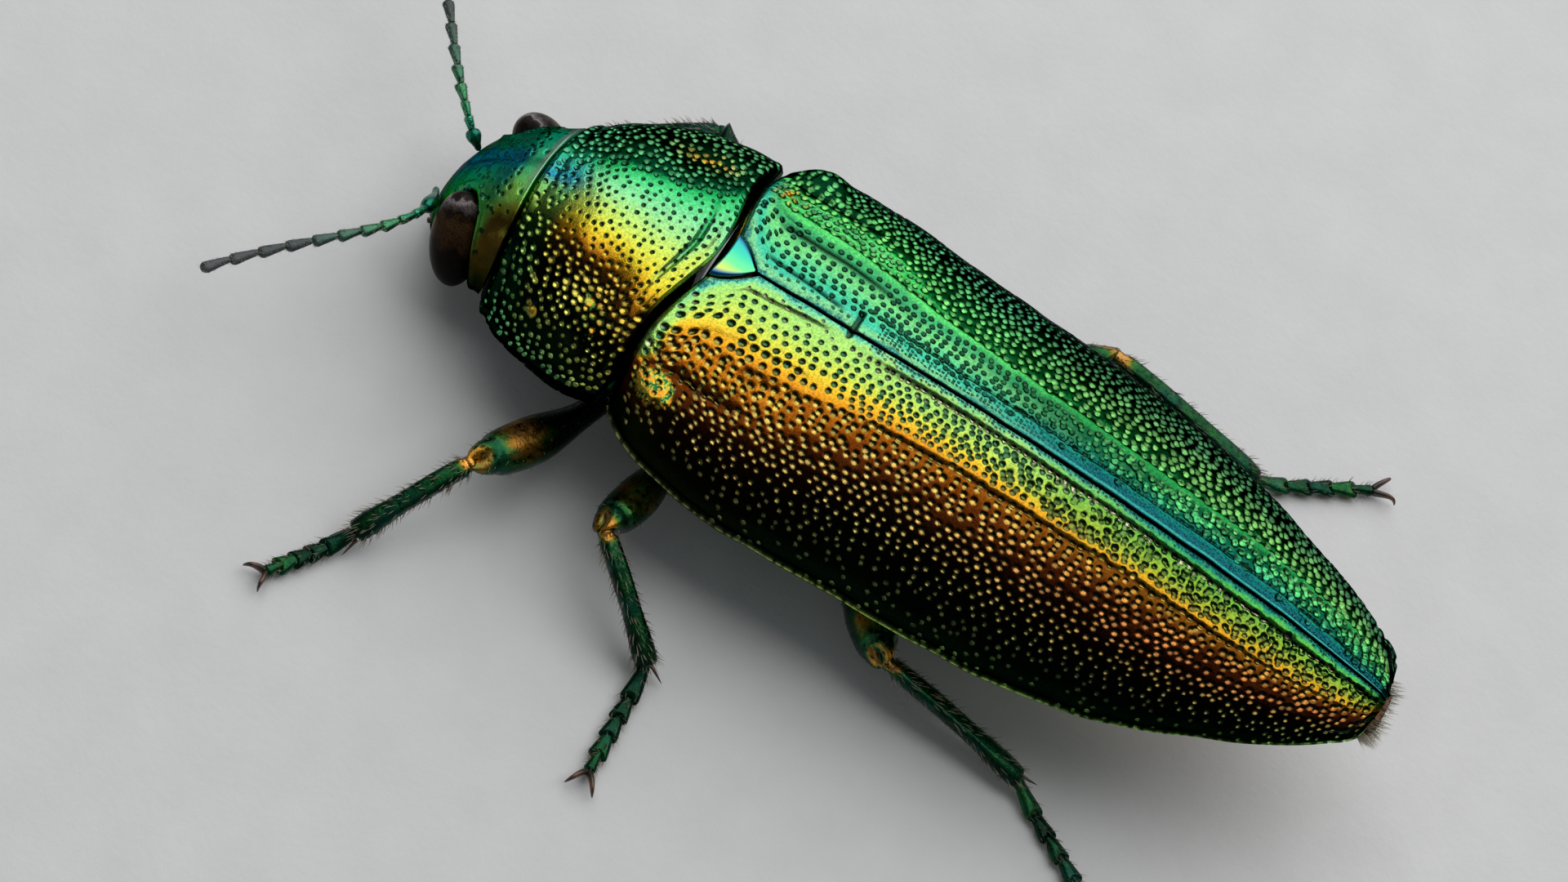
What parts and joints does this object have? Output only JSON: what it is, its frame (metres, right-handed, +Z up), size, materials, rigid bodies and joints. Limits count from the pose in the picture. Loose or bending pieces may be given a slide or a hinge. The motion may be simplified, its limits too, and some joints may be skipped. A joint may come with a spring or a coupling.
{
  "type": "jewel beetle",
  "caption": "Life-size standing jewel beetle with closed, ribbed and pitted wing cases, a domed pronotum, large eyes, slender feelers and six jointed legs.",
  "frame": {"origin": "on the floor, below the middle of the bounding box", "axes": "+Z up, the beetle's head points along -Y and its left side is +X"},
  "size_m": [0.0318, 0.0462, 0.0088],
  "materials": {
    "shell_green": "glossy metallic emerald green cuticle, finely pitted",
    "shell_copper": "glossy metallic cuticle that runs from green through gold to copper, finely pitted",
    "underside": "satin metallic green-bronze cuticle",
    "leg": "glossy dark green cuticle with copper glints and pale bristles",
    "eye": "glossy dark brown facets",
    "feeler": "satin dark green to grey",
    "claw": "dark brown horn"
  },
  "bodies": {
    "root": {"belly_1": "underside", "belly_2": "underside", "belly_3": "underside", "belly_4": "underside", "belly_5": "underside", "claws_fore_left": "claw", "claws_fore_right": "claw", "claws_hind_left": "claw", "claws_hind_right": "claw", "claws_mid_left": "claw", "claws_mid_right": "claw", "coxa_fore_left": "underside", "coxa_fore_right": "underside", "coxa_hind_left": "underside", "coxa_hind_right": "underside", "coxa_mid_left": "underside", "coxa_mid_right": "underside", "elytron_left": "shell_copper", "elytron_right": "shell_green", "eye_left": "eye", "eye_right": "eye", "feeler_left": "feeler", "feeler_right": "feeler", "femur_fore_left": "leg", "femur_fore_right": "leg", "femur_hind_left": "leg", "femur_hind_right": "leg", "femur_mid_left": "leg", "femur_mid_right": "leg", "head": "shell_green", "jaws": "claw", "prothorax": "shell_green", "scape_left": "feeler", "scape_right": "feeler", "scutellum": "shell_green", "tarsus_fore_left": "leg", "tarsus_fore_right": "leg", "tarsus_hind_left": "leg", "tarsus_hind_right": "leg", "tarsus_mid_left": "leg", "tarsus_mid_right": "leg", "thorax": "underside", "tibia_fore_left": "leg", "tibia_fore_right": "leg", "tibia_hind_left": "leg", "tibia_hind_right": "leg", "tibia_mid_left": "leg", "tibia_mid_right": "leg"}
  },
  "joints": []
}
